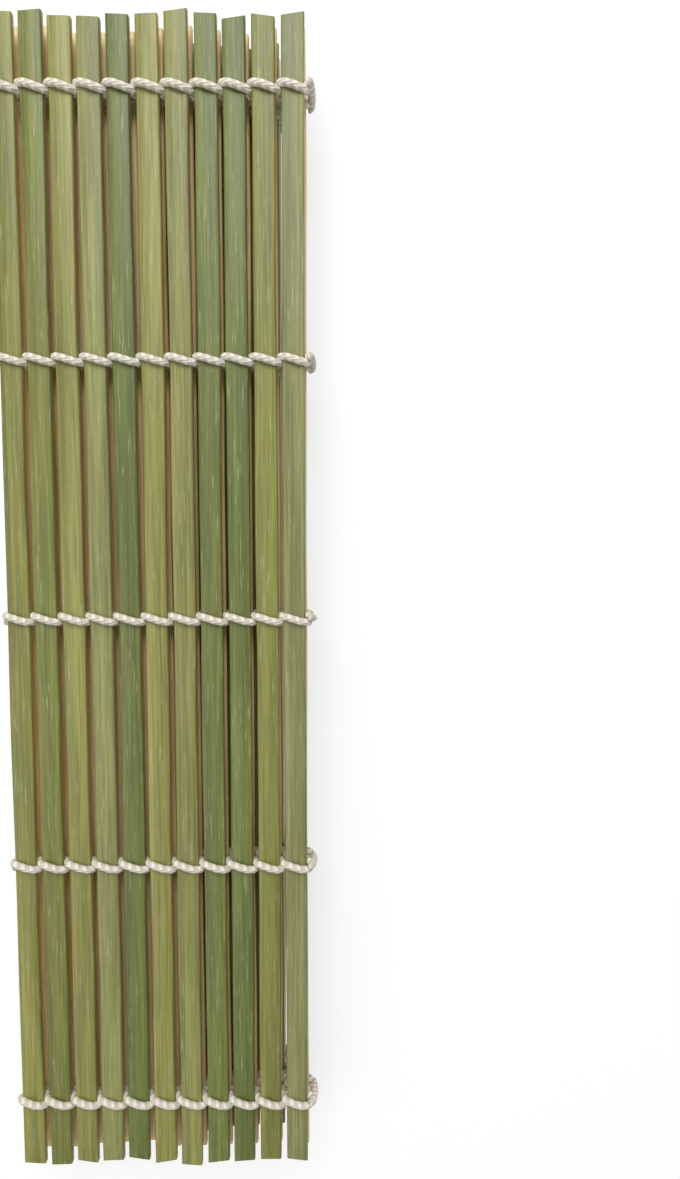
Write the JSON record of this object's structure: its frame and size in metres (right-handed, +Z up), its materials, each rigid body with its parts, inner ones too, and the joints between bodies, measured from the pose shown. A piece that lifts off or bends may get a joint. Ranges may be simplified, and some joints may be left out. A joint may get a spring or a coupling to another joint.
{
  "type": "sushi rolling mat",
  "caption": "Bamboo sushi rolling mat of flat green-skinned slats tied by rows of white cotton cord, folded flat into layers.",
  "frame": {"origin": "centre of the folded mat's footprint, on the surface it lies on", "axes": "+Z up, +Y along the slats, +X across the slats towards the fold of the two upper layers"},
  "size_m": [0.066, 0.2398, 0.0198],
  "materials": {
    "bamboo": "satin",
    "cotton_cord": "matte"
  },
  "bodies": {
    "layer_1": {"slat_01": "bamboo", "slat_02": "bamboo", "slat_03": "bamboo", "slat_04": "bamboo", "slat_05": "bamboo", "slat_06": "bamboo", "slat_07": "bamboo", "slat_08": "bamboo", "slat_09": "bamboo", "slat_10": "bamboo", "slat_11": "bamboo", "cords_layer_1": "cotton_cord", "fold_cords_1_2": "cotton_cord"},
    "layer_2": {"slat_12": "bamboo", "slat_13": "bamboo", "slat_14": "bamboo", "slat_15": "bamboo", "slat_16": "bamboo", "slat_17": "bamboo", "slat_18": "bamboo", "slat_19": "bamboo", "slat_20": "bamboo", "slat_21": "bamboo", "slat_22": "bamboo", "cords_layer_2": "cotton_cord", "fold_cords_2_3": "cotton_cord"},
    "layer_3": {"slat_23": "bamboo", "slat_24": "bamboo", "slat_25": "bamboo", "slat_26": "bamboo", "slat_27": "bamboo", "slat_28": "bamboo", "slat_29": "bamboo", "slat_30": "bamboo", "slat_31": "bamboo", "slat_32": "bamboo", "cords_layer_3": "cotton_cord", "fold_cords_3_4": "cotton_cord"},
    "layer_4": {"slat_33": "bamboo", "slat_34": "bamboo", "slat_35": "bamboo", "slat_36": "bamboo", "slat_37": "bamboo", "slat_38": "bamboo", "slat_39": "bamboo", "slat_40": "bamboo", "slat_41": "bamboo", "slat_42": "bamboo", "cords_layer_4": "cotton_cord"}
  },
  "joints": [
    {"name": "lower_fold", "type": "hinge", "parent": "layer_4", "child": "layer_3", "pos_m": [0.02565, 0, 0.0049], "axis": [0, 1, 0], "range_deg": [0, 180], "deforming": ["fold_cords_3_4"]},
    {"name": "middle_fold", "type": "hinge", "parent": "layer_3", "child": "layer_2", "pos_m": [-0.03135, 0, 0.0099], "axis": [0, 1, 0], "range_deg": [-180, 0], "deforming": ["fold_cords_2_3"]},
    {"name": "upper_fold", "type": "hinge", "parent": "layer_2", "child": "layer_1", "pos_m": [0.03135, 0, 0.0149], "axis": [0, 1, 0], "range_deg": [0, 180], "deforming": ["fold_cords_1_2"]}
  ],
  "couplings": [
    {"joint": "middle_fold", "follows": "lower_fold", "ratio": -1},
    {"joint": "upper_fold", "follows": "lower_fold", "ratio": 1}
  ]
}
